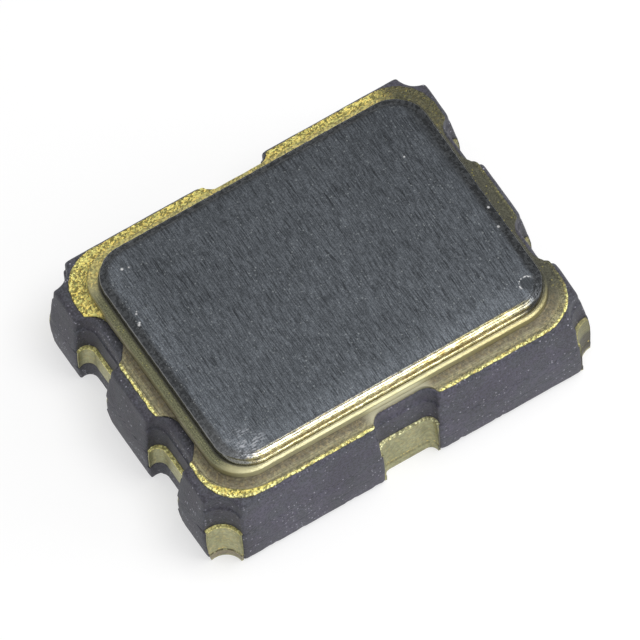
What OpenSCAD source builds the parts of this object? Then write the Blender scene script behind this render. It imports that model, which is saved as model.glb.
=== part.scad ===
// Surface-mount crystal oscillator in a seam-welded ceramic package.
// The body is a stack of co-fired ceramic layers with a stepped cavity. A quartz blank hangs on the
// upper step over a flip-chip circuit, and a metal lid is welded to a seal ring brazed on top.
// Millimetres. X runs along the long side, Y along the short side, Z up. The origin is the middle of
// the footprint, on the board that the solder pads rest on.

/* [Ceramic body] */
// Length of the body at its lower edges
body_l = 3.26; // [3.1:0.02:3.6]
// Width of the body at its lower edges
body_w = 2.5; // [2.4:0.05:2.9]
// Height of the ceramic, from its underside to its sealing face
body_h = 0.725; // [0.7:0.025:0.9]
// Bottom ceramic layer, under the side contacts
base_layer = 0.17; // [0.1:0.01:0.2]
// Middle ceramic layers, which carry the plated part of each notch
plated_layer = 0.2; // [0.12:0.01:0.24]
// How far the snapped walls stand out at mid height
wall_bulge = 0.02; // [0.005:0.005:0.04]
// How far each short wall leans in from its foot to the score line
short_lean = 0.032; // [0.006:0.002:0.04]
// How far each long wall leans in from its foot to the score line
long_lean = 0.005; // [0.002:0.001:0.02]
// Height of the bevel that the score line leaves under the sealing face
score_h = 0.07; // [0.03:0.01:0.1]
// Width of the same bevel
score_in = 0.022; // [0.01:0.002:0.03]
// How far the rows of holes lie inside the feet of the short walls
row_inset = 0.03; // [0:0.005:0.04]
// How far the printed pattern sits off the middle of the snapped body
print_shift = 0.02; // [0:0.005:0.03]

/* [Notches] */
// Radius of the corner holes in the top layer
corner_top_r = 0.184; // [0.18:0.002:0.19]
// Radius inside the plating of the corner holes
corner_low_r = 0.15; // [0.13:0.005:0.155]
// Radius at the ends of the longer notches in the top layer
top_end_r = 0.1; // [0.09:0.01:0.12]
// Radius at the ends of the longer notches inside their plating
low_end_r = 0.07; // [0.05:0.01:0.09]
// How far the upper layers were laid off the lower ones, along Y
layer_shift = 0.012; // [0:0.002:0.012]
// Thickness of the top layer, whose holes are the widest
top_layer = 0.14; // [0.1:0.01:0.2]
// How much narrower all round the holes are in the bare layers under it
layer_step = 0.014; // [0.006:0.002:0.016]
// Distance between the two notches of a short side
side_pitch = 1.0; // [0.9:0.05:1.1]
// Width of a short-side notch in the top layer
side_top_w = 0.49; // [0.48:0.01:0.52]
// Depth of that notch, from the row of holes inwards
side_top_in = 0.105; // [0.1:0.005:0.11]
// Width of a short-side notch inside its plating
side_low_w = 0.43; // [0.36:0.01:0.44]
// Depth of that notch inside its plating
side_low_in = 0.06; // [0.05:0.005:0.065]
// Width of the long-side notch in the top layer
wide_top_w = 0.53; // [0.52:0.01:0.6]
// Depth of that notch, from the row of holes inwards
wide_top_in = 0.115; // [0.114:0.001:0.118]
// Width of the long-side notch inside its plating
wide_low_w = 0.45; // [0.4:0.01:0.46]
// Depth of that notch inside its plating
wide_low_in = 0.085; // [0.07:0.005:0.09]

/* [Plating and pads] */
// Thickness of the gold-plated metal on the notch walls
plating_t = 0.012; // [0.01:0.001:0.015]
// Thickness of the same metal on the ledge above them
collar_t = 0.01; // [0.006:0.002:0.016]
// Extra thickness of the plating at its foot, where the pad print runs up
foot_t = 0.006; // [0.004:0.001:0.01]
// Height of that foot
foot_h = 0.08; // [0.04:0.01:0.1]
// Thickness of the solder pads
pad_t = 0.012; // [0.01:0.002:0.02]
// Length of a corner pad along X
corner_pad_l = 0.75; // [0.6:0.05:0.9]
// Width of a corner pad along Y
corner_pad_w = 0.72; // [0.6:0.04:0.84]
// Length of a middle pad along X
middle_pad_l = 0.66; // [0.5:0.04:0.74]
// Width of a middle pad along Y
middle_pad_w = 0.56; // [0.4:0.04:0.68]
// Bare ceramic between a pad and the body's edge
pad_edge = 0.05; // [0.03:0.01:0.08]
// Bare ceramic between a corner pad and the short-side notch beside it
pad_notch_gap = 0.03; // [0.02:0.01:0.05]
// Cut corner that marks the first pad
index_cut = 0.2; // [0.1:0.05:0.3]

/* [Seal] */
// Bare ceramic between the printed metal and the top's short edges
metal_edge_l = 0.038; // [0.03:0.002:0.06]
// Bare ceramic between the printed metal and the top's long edges
metal_edge_w = 0.008; // [0.004:0.002:0.02]
// Corner radius of the printed metal
metal_r = 0.34; // [0.3:0.02:0.44]
// Thickness of the printed metal
metal_t = 0.012; // [0.008:0.002:0.02]
// Bare ceramic left round the corner and long-side notches
notch_gap = 0.01; // [0.006:0.001:0.015]
// Bare ceramic left inside each short-side notch
bite_gap = 0.061; // [0.05:0.001:0.065]
// Width of the short-side notch that this margin is measured from
bite_w = 0.36; // [0.32:0.01:0.4]
// Band of printed metal outside the seal ring
braze_land = 0.115; // [0.1:0.005:0.13]
// Thickness of the braze under the ring
braze_t = 0.008; // [0.005:0.001:0.015]
// Width of the braze fillet at the ring's foot
fillet_w = 0.08; // [0.05:0.005:0.09]
// Height of the braze fillet on the ring's wall
fillet_h = 0.035; // [0.03:0.005:0.05]
// Thickness of the braze at the fillet's outer edge
fillet_toe = 0.004; // [0.002:0.001:0.006]
// Height of the seal ring
ring_h = 0.088; // [0.08:0.004:0.12]
// Width of the seal ring's band
ring_wall = 0.24; // [0.2:0.01:0.26]
// Outer corner radius of the seal ring
ring_r = 0.3; // [0.28:0.01:0.36]
// Rounding on the ring's upper outer edge
ring_edge_r = 0.015; // [0.008:0.001:0.018]
// Inner corner radius of the seal ring
ring_inner_r = 0.14; // [0.1:0.01:0.18]

/* [Lid] */
// Step from the ring's outer face in to the lid's edge
lid_step = 0.05; // [0.045:0.005:0.06]
// Corner radius of the lid
lid_r = 0.28; // [0.24:0.01:0.3]
// How far the lid was welded off the ring's middle, along X
lid_shift_l = 0.024; // [0:0.002:0.026]
// How far it was welded off the ring's middle towards the index pad, along Y
lid_shift_w = 0.015; // [0:0.001:0.02]
// Thickness of the lid
lid_t = 0.088; // [0.07:0.002:0.1]
// Width of the track that the welding rollers press round the lid
track_w = 0.06; // [0.04:0.005:0.1]
// How far the track drops towards the lid's edge
track_drop = 0.014; // [0.008:0.002:0.024]
// Rounding where the welded edge was melted
melt_r = 0.016; // [0.008:0.002:0.03]

/* [Cavity] */
// Step from the ring's inner face in to the cavity's wall
cavity_step = 0.03; // [0.02:0.005:0.04]
// Corner radius of the cavity
cavity_r = 0.12; // [0.08:0.01:0.15]
// Depth of the crystal's room, from the sealing face to the shelf
crystal_room = 0.24; // [0.2:0.01:0.26]
// Depth of the chip's pit below the shelf
pit_depth = 0.22; // [0.2:0.01:0.24]
// Corner radius of the pit
pit_r = 0.06; // [0.04:0.01:0.08]

/* [Chip] */
// Length of the circuit chip
die_l = 1.42; // [1.2:0.02:1.5]
// Width of the circuit chip
die_w = 1.06; // [0.9:0.02:1.16]
// Thickness of the circuit chip
die_t = 0.12; // [0.1:0.01:0.14]
// Room between the chip and the walls of its pit
die_gap = 0.09; // [0.06:0.01:0.1]
// Contacts in each of the chip's two rows
bumps_per_row = 5; // [3:1:6]
// Distance from the chip's edge to the middle of a contact
bump_edge = 0.13; // [0.1:0.01:0.2]
// Radius of a gold bump
bump_r = 0.035; // [0.025:0.005:0.045]
// Height of a gold bump
bump_h = 0.028; // [0.02:0.002:0.034]
// Side of a square land under a bump
land_side = 0.13; // [0.1:0.01:0.15]
// Thickness of a land
land_t = 0.008; // [0.006:0.002:0.012]

/* [Crystal] */
// Gap between the crystal's held end and the cavity's wall
held_gap = 0.08; // [0.05:0.01:0.12]
// Gap between the crystal's free end and the cavity's wall
free_gap = 0.22; // [0.14:0.02:0.3]
// Gap along each side of the crystal
side_gap = 0.16; // [0.1:0.02:0.24]
// Thickness of the quartz blank
blank_t = 0.045; // [0.03:0.005:0.06]
// Thickness of the electrode films
film_t = 0.005; // [0.004:0.001:0.008]
// Bare quartz at each end of the electrodes
electrode_end = 0.5; // [0.45:0.01:0.6]
// Bare quartz along each side of the electrodes
electrode_side = 0.25; // [0.2:0.01:0.25]
// Corner radius of the electrodes
electrode_r = 0.2; // [0.1:0.02:0.26]
// Width of the strips that lead from the electrodes to the held end
lead_w = 0.16; // [0.1:0.02:0.2]
// Radius of a dot of conductive adhesive
dot_r = 0.1; // [0.07:0.01:0.12]
// Height of a dot of conductive adhesive
dot_h = 0.03; // [0.02:0.005:0.04]
// How far a dot bulges past its flat faces
dot_bulge = 0.015; // [0.005:0.005:0.02]
// Distance from the crystal's edges to the middle of a dot
dot_edge = 0.15; // [0.14:0.01:0.18]
// Side of a square crystal land on the shelf
shelf_land = 0.3; // [0.28:0.01:0.34]
// Thickness of a crystal land
shelf_land_t = 0.01; // [0.006:0.002:0.016]

/* [Hidden] */
$fn = 64;

// A little more than flush, so that cutters leave clean faces
over = 0.05;

// Levels, from the board up
underside = pad_t;
side_foot = underside + base_layer;
plated_top = side_foot + plated_layer;
ledge_z = plated_top - collar_t;
shoulder = underside + body_h - score_h;
rim_z = underside + body_h - top_layer;
seal_face = underside + body_h;
ring_foot = seal_face + metal_t + braze_t;
ring_top = ring_foot + ring_h;
lid_top = ring_top + lid_t;
bulge_z = (side_foot + plated_top) / 2;
shelf_z = seal_face - crystal_room;
pit_floor = shelf_z - pit_depth;

// Plan sizes that follow from the body
top_l = body_l - 2 * (short_lean + score_in);
top_w = body_w - 2 * (long_lean + score_in);
row_x = body_l / 2 - row_inset;
row_y = body_w / 2;
metal_l = top_l - 2 * metal_edge_l;
metal_w = top_w - 2 * metal_edge_w;
ring_l = metal_l - 2 * braze_land;
ring_w = metal_w - 2 * braze_land;
ring_inner_l = ring_l - 2 * ring_wall;
ring_inner_w = ring_w - 2 * ring_wall;
lid_l = ring_l - 2 * lid_step;
lid_w = ring_w - 2 * lid_step;
cavity_l = ring_inner_l - 2 * cavity_step;
cavity_w = ring_inner_w - 2 * cavity_step;
pit_l = die_l + 2 * die_gap;
pit_w = die_w + 2 * die_gap;

// Crystal and what holds it
blank_l = cavity_l - held_gap - free_gap;
blank_w = cavity_w - 2 * side_gap;
blank_x0 = -cavity_l / 2 + held_gap;
blank_x = blank_x0 + blank_l / 2;
blank_z = shelf_z + shelf_land_t + dot_h + film_t;
electrode_l = blank_l - 2 * electrode_end;
electrode_w = blank_w - 2 * electrode_side;
dot_x = blank_x0 + dot_edge;
dot_y = blank_w / 2 - dot_edge;

// The pit leaves the shelf free under the crystal's held end
shelf_end = dot_x + shelf_land / 2;
pit_wall_gap = cavity_l / 2 - cavity_r / 2;
pit_x = min(shelf_end + die_gap + pit_l / 2, pit_wall_gap - pit_l / 2);

ceramic_colour = [0.30, 0.28, 0.33];
gold_colour = [0.80, 0.68, 0.30];
dull_gold_colour = [0.62, 0.56, 0.34];
lid_colour = [0.42, 0.45, 0.48];
braze_colour = [0.50, 0.43, 0.24];
silicon_colour = [0.25, 0.26, 0.30];
quartz_colour = [0.85, 0.90, 0.92, 0.6];
adhesive_colour = [0.72, 0.72, 0.74];

CORNERS = [[-1, -1], [1, -1], [1, 1], [-1, 1]];

// Moves a shape from the body's middle to the middle of the printed pattern
module printed() {
  translate([print_shift, 0, 0]) children();
}

// Flat rounded rectangle about the origin
module plate(l, w, r) {
  square([l - 2 * r, w], center = true);
  square([l, w - 2 * r], center = true);
  for (c = CORNERS) translate([c[0] * (l / 2 - r), c[1] * (w / 2 - r)]) circle(r);
}

// Flat slot of a given length with round ends, along X
module slot(w, r) {
  square([w - 2 * r, 2 * r], center = true);
  for (s = [-1, 1]) translate([s * (w / 2 - r), 0]) circle(r);
}

// Carries a profile round a rounded rectangle. The profile's X is the distance outside the outline
// and its Y is the height.
module round_frame(l, w, r) {
  for (k = [0 : 3]) {
    along = k % 2 == 0 ? l : w;
    across = k % 2 == 0 ? w : l;
    rotate([0, 0, 90 * k]) {
      translate([r - along / 2, across / 2, 0]) rotate([90, 0, 90])
        linear_extrude(along - 2 * r) children();
      translate([along / 2 - r, across / 2 - r, 0])
        rotate_extrude(angle = 90) translate([r, 0]) children();
    }
  }
}

// Half section of the body: half width at each height
function wall_points(half, lean) = [
  [half, 0], [half, underside], [half + wall_bulge, bulge_z], [half - lean, shoulder],
  [half - lean - score_in, seal_face]
];

module wall_section(half, lean) {
  right = wall_points(half, lean);
  left = [for (k = [len(right) - 1 : -1 : 0]) [-right[k][0], right[k][1]]];
  polygon(concat(right, left));
}

// The snapped block: leaning walls with a bulge and a bevel left by the score line
module snapped_block() {
  reach = body_l + body_w;
  intersection() {
    translate([0, reach / 2, 0]) rotate([90, 0, 0])
      linear_extrude(reach) wall_section(body_l / 2, short_lean);
    translate([-reach / 2, 0, 0]) rotate([90, 0, 90])
      linear_extrude(reach) wall_section(body_w / 2, long_lean);
  }
}

// Punched outlines. grow widens the hole all round.
module corner_hole(c, r) {
  translate([c[0] * row_x, c[1] * row_y]) circle(r);
}

module side_hole(c, w, depth, r, grow = 0) {
  translate([c[0] * (row_x + r - depth), c[1] * side_pitch / 2])
    rotate(90) slot(w + 2 * grow, r + grow);
}

module wide_hole(sy, w, depth, r, grow = 0) {
  translate([0, sy * (row_y + r - depth)]) slot(w + 2 * grow, r + grow);
}

// Holes of the lower layers. grow = 0 gives the face of the plating, plating_t the ceramic.
module low_corner(c, grow = 0) {
  corner_hole(c, corner_low_r + grow);
}

module low_side(c, grow = 0) {
  side_hole(c, side_low_w, side_low_in, low_end_r, grow);
}

module low_wide(sy, grow = 0) {
  wide_hole(sy, wide_low_w, wide_low_in, low_end_r, grow);
}

// Holes of the bare upper layers, laid a little off the lower ones. grow = 0 gives the top layer and
// -layer_step the bare layers under it.
module top_corner(c, grow = 0) {
  translate([0, layer_shift]) corner_hole(c, corner_top_r + grow);
}

module top_side(c, grow = 0) {
  translate([0, layer_shift]) side_hole(c, side_top_w, side_top_in, top_end_r, grow);
}

module top_wide(sy, grow = 0) {
  translate([0, layer_shift]) wide_hole(sy, wide_top_w, wide_top_in, top_end_r, grow);
}

module top_holes(grow = 0) {
  for (c = CORNERS) {
    top_corner(c, grow);
    top_side(c, grow);
  }
  for (sy = [-1, 1]) top_wide(sy, grow);
}

// Where the printed metal and the braze stay clear of the notches
module keep_clear() {
  for (c = CORNERS) {
    top_corner(c, notch_gap);
    translate([0, layer_shift]) side_hole(c, bite_w, side_top_in, top_end_r, bite_gap);
  }
  for (sy = [-1, 1]) top_wide(sy, notch_gap);
}

module ceramic_base() {
  color(ceramic_colour) difference() {
    intersection() {
      snapped_block();
      translate([-body_l, -body_w, underside]) cube([2 * body_l, 2 * body_w, body_h]);
    }
    printed() {
      translate([0, 0, rim_z]) linear_extrude(body_h) top_holes();
      translate([0, 0, ledge_z]) linear_extrude(body_h) top_holes(-layer_step);
      translate([0, 0, -over]) linear_extrude(plated_top + over) {
        for (c = CORNERS) low_corner(c, plating_t);
        for (sy = [-1, 1]) low_wide(sy, plating_t);
      }
      translate([0, 0, -over]) linear_extrude(side_foot + 2 * over)
        for (c = CORNERS) low_side(c);
      translate([0, 0, side_foot]) linear_extrude(plated_layer)
        for (c = CORNERS) low_side(c, plating_t);
      translate([0, 0, shelf_z]) linear_extrude(crystal_room + over)
        plate(cavity_l, cavity_w, cavity_r);
      translate([pit_x, 0, pit_floor]) linear_extrude(pit_depth + over) plate(pit_l, pit_w, pit_r);
    }
  }
}

// One plated surface: what lies between an outer and an inner outline, within the snapped body
module coat(z0, z1) {
  intersection() {
    snapped_block();
    printed() translate([0, 0, z0]) linear_extrude(z1 - z0) difference() {
      children(0);
      children(1);
    }
  }
}

module corner_terminal(k) {
  c = CORNERS[k];
  outer_x = body_l / 2 - pad_edge;
  outer_y = body_w / 2 - pad_edge;
  inner_x = outer_x - corner_pad_l;
  inner_y = outer_y - corner_pad_w;
  cut = k == 0 ? index_cut : 0;
  color(dull_gold_colour) {
    coat(0, plated_top) {
      low_corner(c, plating_t);
      low_corner(c);
    }
    coat(0, foot_h) {
      low_corner(c, plating_t);
      low_corner(c, -foot_t);
    }
    coat(ledge_z, plated_top) {
      top_corner(c, -layer_step);
      low_corner(c);
    }
  }
  color(gold_colour) printed() linear_extrude(pad_t) difference() {
    polygon([[c[0] * outer_x, c[1] * outer_y], [c[0] * outer_x, c[1] * inner_y],
             [c[0] * (inner_x + cut), c[1] * inner_y], [c[0] * inner_x, c[1] * (inner_y + cut)],
             [c[0] * inner_x, c[1] * outer_y]]);
    low_corner(c);
    low_side(c, pad_notch_gap);
  }
}

module middle_terminal(sy) {
  outer_y = body_w / 2 - pad_edge;
  color(dull_gold_colour) {
    coat(0, plated_top) {
      low_wide(sy, plating_t);
      low_wide(sy);
    }
    coat(0, foot_h) {
      low_wide(sy, plating_t);
      low_wide(sy, -foot_t);
    }
    coat(ledge_z, plated_top) {
      top_wide(sy, -layer_step);
      low_wide(sy);
    }
  }
  color(gold_colour) printed() linear_extrude(pad_t) difference() {
    translate([0, sy * (outer_y - middle_pad_w / 2)]) square([middle_pad_l, middle_pad_w], center = true);
    low_wide(sy);
  }
}

module side_contact(k) {
  c = CORNERS[k];
  color(dull_gold_colour) {
    coat(side_foot, plated_top) {
      low_side(c, plating_t);
      low_side(c);
    }
    coat(ledge_z, plated_top) {
      top_side(c, -layer_step);
      low_side(c);
    }
  }
}

// Printed frame that the braze wets, open over the cavity and cut back round the notches
module seal_metallization() {
  color(gold_colour) printed() translate([0, 0, seal_face]) linear_extrude(metal_t) difference() {
    plate(metal_l, metal_w, metal_r);
    keep_clear();
    plate(ring_inner_l, ring_inner_w, ring_inner_r);
  }
}

// Concave fillet outside the ring's wall, and the film it joins under the ring
module fillet_profile() {
  rise = fillet_h - fillet_toe;
  arc_r = (fillet_w * fillet_w + rise * rise) / (2 * rise);
  translate([-over, 0]) square([2 * over, braze_t / 2]);
  difference() {
    square([fillet_w, fillet_h]);
    translate([fillet_w, fillet_toe + arc_r]) circle(arc_r);
  }
}

module braze_joint() {
  color(braze_colour) printed() translate([0, 0, seal_face + metal_t]) difference() {
    union() {
      linear_extrude(braze_t) plate(ring_l, ring_w, ring_r);
      round_frame(ring_l, ring_w, ring_r) fillet_profile();
    }
    translate([0, 0, -over]) linear_extrude(ring_h) {
      keep_clear();
      plate(ring_inner_l, ring_inner_w, ring_inner_r);
    }
  }
}

module ring_profile() {
  translate([-ring_edge_r, 0]) square([ring_edge_r, ring_h - ring_edge_r]);
  translate([-ring_edge_r, ring_h - ring_edge_r]) intersection() {
    circle(ring_edge_r);
    square(ring_edge_r);
  }
}

module seal_ring() {
  color(dull_gold_colour) printed() translate([0, 0, ring_foot]) {
    linear_extrude(ring_h) difference() {
      plate(ring_l - 2 * ring_edge_r, ring_w - 2 * ring_edge_r, ring_r - ring_edge_r);
      plate(ring_inner_l, ring_inner_w, ring_inner_r);
    }
    round_frame(ring_l, ring_w, ring_r) ring_profile();
  }
}

// Edge of the lid: the rolled track, the melted rounding and the plain lower edge
module lid_rim_profile() {
  edge = lid_t - track_drop;
  difference() {
    polygon([[-track_w, 0], [0, 0], [0, edge], [-track_w, lid_t]]);
    translate([-melt_r, edge - melt_r]) difference() {
      square(2 * melt_r);
      circle(melt_r);
    }
  }
}

module lid() {
  color(lid_colour) printed() translate([lid_shift_l, -lid_shift_w, ring_top]) {
    linear_extrude(lid_t) plate(lid_l - 2 * track_w, lid_w - 2 * track_w, lid_r - track_w);
    round_frame(lid_l, lid_w, lid_r) lid_rim_profile();
  }
}

// Places its children at each contact of the chip
module at_bumps() {
  step = (die_l - 2 * bump_edge) / (bumps_per_row - 1);
  for (k = [0 : bumps_per_row - 1], sy = [-1, 1])
    translate([pit_x - die_l / 2 + bump_edge + k * step, sy * (die_w / 2 - bump_edge), 0]) children();
}

module chip_lands() {
  color(gold_colour) printed() translate([0, 0, pit_floor]) at_bumps()
    linear_extrude(land_t) square(land_side, center = true);
}

module chip_bumps() {
  color(gold_colour) printed() translate([0, 0, pit_floor + land_t]) at_bumps() cylinder(bump_h, r = bump_r);
}

module circuit_chip() {
  color(silicon_colour) printed() translate([pit_x, 0, pit_floor + land_t + bump_h])
    linear_extrude(die_t) square([die_l, die_w], center = true);
}

module at_dots() {
  for (sy = [-1, 1]) translate([dot_x, sy * dot_y, 0]) children();
}

module crystal_lands() {
  color(gold_colour) printed() translate([0, 0, shelf_z]) at_dots()
    linear_extrude(shelf_land_t) square(shelf_land, center = true);
}

module dot_profile() {
  square([dot_r, dot_h]);
  translate([dot_r, dot_h / 2]) scale([dot_bulge / (dot_h / 2), 1]) intersection() {
    circle(dot_h / 2);
    translate([0, -dot_h / 2]) square([dot_h / 2, dot_h]);
  }
}

module crystal_adhesive() {
  color(adhesive_colour) printed() translate([0, 0, shelf_z + shelf_land_t]) at_dots()
    rotate_extrude() dot_profile();
}

module quartz_blank() {
  color(quartz_colour) printed() translate([blank_x, 0, blank_z])
    linear_extrude(blank_t) square([blank_l, blank_w], center = true);
}

// One electrode's plan: the active patch and the strip that leads to one corner of the held end
module electrode_plan(sy) {
  pad = 2 * dot_edge;
  strip = blank_l / 2 - dot_edge;
  translate([blank_x, 0]) plate(electrode_l, electrode_w, electrode_r);
  translate([dot_x, sy * (electrode_w - lead_w) / 2 - lead_w / 2]) square([strip, lead_w]);
  translate([blank_x0, sy * dot_y - pad / 2]) square([pad, pad]);
}

module lower_electrode() {
  color(gold_colour) printed() translate([0, 0, blank_z - film_t]) linear_extrude(film_t) electrode_plan(-1);
}

// The upper film folds over the held end and comes back under the blank to its own dot
module upper_electrode() {
  pad = 2 * dot_edge;
  wrap_h = blank_t + 2 * film_t;
  color(gold_colour) printed() {
    translate([0, 0, blank_z + blank_t]) linear_extrude(film_t) electrode_plan(1);
    translate([blank_x0 - film_t, dot_y - pad / 2, blank_z - film_t]) cube([film_t, pad, wrap_h]);
    translate([blank_x0, dot_y - pad / 2, blank_z - film_t]) cube([pad, pad, film_t]);
  }
}

ceramic_base();
corner_terminal(0);  // corner_terminal_1
corner_terminal(1);  // corner_terminal_2
corner_terminal(2);  // corner_terminal_3
corner_terminal(3);  // corner_terminal_4
middle_terminal(-1);  // middle_terminal_1
middle_terminal(1);  // middle_terminal_2
side_contact(0);  // side_contact_1
side_contact(1);  // side_contact_2
side_contact(2);  // side_contact_3
side_contact(3);  // side_contact_4
seal_metallization();
braze_joint();
seal_ring();
lid();
chip_lands();
chip_bumps();
circuit_chip();
crystal_lands();
crystal_adhesive();
quartz_blank();
lower_electrode();
upper_electrode();
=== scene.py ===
import math

import bpy
import numpy as np
from mathutils import Matrix, Vector, geometry, noise


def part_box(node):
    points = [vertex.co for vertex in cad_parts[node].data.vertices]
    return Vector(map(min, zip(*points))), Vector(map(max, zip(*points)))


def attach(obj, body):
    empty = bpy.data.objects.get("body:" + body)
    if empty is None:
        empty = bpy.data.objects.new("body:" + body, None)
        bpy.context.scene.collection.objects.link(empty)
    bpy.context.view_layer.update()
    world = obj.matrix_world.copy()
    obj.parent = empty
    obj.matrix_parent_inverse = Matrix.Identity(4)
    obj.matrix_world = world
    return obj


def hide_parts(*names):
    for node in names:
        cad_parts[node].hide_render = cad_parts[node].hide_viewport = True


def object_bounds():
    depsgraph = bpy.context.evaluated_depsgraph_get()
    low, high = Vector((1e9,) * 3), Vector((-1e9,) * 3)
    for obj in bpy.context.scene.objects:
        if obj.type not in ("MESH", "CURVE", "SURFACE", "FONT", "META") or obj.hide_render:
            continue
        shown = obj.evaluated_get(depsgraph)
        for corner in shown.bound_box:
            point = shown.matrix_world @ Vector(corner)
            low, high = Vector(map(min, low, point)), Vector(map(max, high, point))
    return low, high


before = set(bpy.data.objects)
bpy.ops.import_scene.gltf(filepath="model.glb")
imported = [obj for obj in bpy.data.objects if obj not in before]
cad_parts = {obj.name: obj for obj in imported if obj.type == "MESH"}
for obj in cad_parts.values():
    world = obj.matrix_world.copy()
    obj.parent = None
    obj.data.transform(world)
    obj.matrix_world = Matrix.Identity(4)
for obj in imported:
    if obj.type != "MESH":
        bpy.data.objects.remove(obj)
cad_low, cad_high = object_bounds()
MM = 0.001


def node_box(name):
    """Middle, half width and height range of a node, in millimetres."""
    low, high = (np.array(corner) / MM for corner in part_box(name))
    return (low[:2] + high[:2]) / 2, (high[:2] - low[:2]) / 2, (low[2], high[2])


# Sizes that the nodes' boxes give
UNDERSIDE, SEAL_FACE = node_box("ceramic_base")[2]
PLATED_TOP = node_box("corner_terminal_3")[2][1]
SIDE_FOOT = node_box("side_contact_1")[2][0]
PRINT_MID, PRINT_HALF, (_, PRINT_TOP) = node_box("seal_metallization")
_, RING_HALF, RING_Z = node_box("seal_ring")
LID_MID, LID_HALF, LID_Z = node_box("lid")
_, BRAZE_HALF, BRAZE_Z = node_box("braze_joint")
FILLET_W = BRAZE_HALF[0] - RING_HALF[0]
FILLET_H = BRAZE_Z[1] - BRAZE_Z[0]

# How far the top layer was laid off the others, and how far from the middle the lines of holes run
LAYER_SHIFT = np.array([0.0, 0.012])
ROW = np.array([1.6, 1.25])
SIDE_PITCH = 1.0

# Heights of the plating's ledge, the top layer's wider holes, and the cavity's shelf and pit
LEDGE_Z = PLATED_TOP - 0.01
RIM_Z = SEAL_FACE - 0.14
SHELF_Z = SEAL_FACE - 0.24
PIT_FLOOR = SHELF_Z - 0.22

# Thicknesses and corner radii
PLATING_T = 0.012
FOOT_T = 0.006
PAD_T = 0.012
BRAZE_T = 0.008
FILLET_TOE = 0.004
PRINT_R = 0.34
RING_R = 0.3
LID_R = 0.28

# Half widths and corner radii of the openings
RING_INNER = (np.array([1.183, 0.86]), 0.14)
CAVITY = (np.array([1.153, 0.83]), 0.12)
PIT = (np.array([0.8, 0.62]), 0.06)
PIT_X = 0.137

# Pads: outer edge, sizes, cut corner of the first one, and the gap that they leave round a side notch
PAD_OUT = np.array([1.58, 1.2])
CORNER_PAD = np.array([0.75, 0.72])
MIDDLE_PAD = np.array([0.66, 0.56])
INDEX_CUT = 0.2
PAD_NOTCH_GAP = 0.03

# Half widths of the snapped block at each height: along X, then along Y
WALL = np.array([
    (0.0, 1.63, 1.25), (0.012, 1.63, 1.25), (0.09, 1.64, 1.259), (0.18, 1.6465, 1.266), (0.282, 1.649, 1.269),
    (0.4, 1.637, 1.264), (0.55, 1.615, 1.254), (0.667, 1.597, 1.246), (0.737, 1.59, 1.24)])
# The plating was snapped with the ceramic, and its cut edge lies this far behind the wall
CUT_EDGE = 0.014
# Width and height of the rounding along the ceramic's upper edges
LIP_W, LIP_H = 0.026, 0.042

# Side k runs along the first direction, and the second points out of it
SIDES = [(np.array([1, 0]), np.array([0, -1])), (np.array([0, 1]), np.array([1, 0])),
         (np.array([-1, 0]), np.array([0, 1])), (np.array([0, -1]), np.array([-1, 0]))]

# Points along a corner's arc, along the arc at a notch's end, and along a notch's straight middle
CORNER_N, ARC_N, MID_N = 30, 14, 18
# Points on the straight runs of a long side, of a short side, and of a pad
RUN_N = ((40, 40), (10, 20, 10))
PAD_RUN_N = 22


class Holes:
    """The holes of one layer: the corner radius, then width, depth and end radius of the longer notches."""

    def __init__(self, shift, corner, side, wide):
        self.shift, self.corner, self.side, self.wide = shift, corner, side, wide

    def grown(self, g):
        def slot(w, depth, r):
            return (w + 2 * g, depth + g, r + g)
        return Holes(self.shift, self.corner + g, slot(*self.side), slot(*self.wide))


LOW = Holes(PRINT_MID, 0.15, (0.43, 0.06, 0.07), (0.45, 0.085, 0.07))
TOP = Holes(PRINT_MID + LAYER_SHIFT, 0.184, (0.49, 0.105, 0.1), (0.53, 0.115, 0.1))
MIDDLE = TOP.grown(-0.014)
CLEAR = Holes(PRINT_MID + LAYER_SHIFT, 0.194, (0.482, 0.166, 0.161), (0.55, 0.125, 0.11))

# Profiles. A row is an inset and a height, unless its comment says otherwise.
# Foot of the ceramic, and the lower edge of its top layer's holes as a height and a growth
FOOT_ROWS = ((0.018, 0), (0.011, 0), (0.007, 0.0005), (0.003, 0.003), (0.001, 0.008))
RIM_ROWS = ((0, -0.0135), (0.003, -0.009), (0.008, -0.004), (0.016, -0.001), (0.03, 0), (0.06, 0), (0.09, 0))
# Thicker foot of a notch's plating, as a height and a share of FOOT_T, and where the plain wall starts over it
STEP_ROWS = ((0, 1.0), (0.02, 1.0), (0.04, 1.0), (0.058, 1.0), (0.066, 0.9), (0.073, 0.5), (0.079, 0.12), (0.084, 0))
STEP_TOP = 0.09
# Top of the plating, as a growth and a height over PLATED_TOP, and its ledge, as a growth and a height
PLATED_ROWS = ((0.0006, -0.0045), (0.0015, -0.002), (0.003, -0.0006), (0.005, 0))
LEDGE_ROWS = ((-0.003, PLATED_TOP + 0.0006), (0.002, PLATED_TOP + 0.0012), (0.003, LEDGE_Z))
PAD_ROWS = ((0.03, 0), (0.018, 0.0002), (0.01, 0.001), (0.004, 0.003), (0.001, 0.006), (0, 0.009),
            (0, PAD_T + 0.001))
# Outer edge of the printed frame, as an inset and a share of its height
PRINT_ROWS = ((0, 0), (0, 0.5), (0.0012, 0.75), (0.004, 0.93), (0.009, 1.0))
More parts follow.
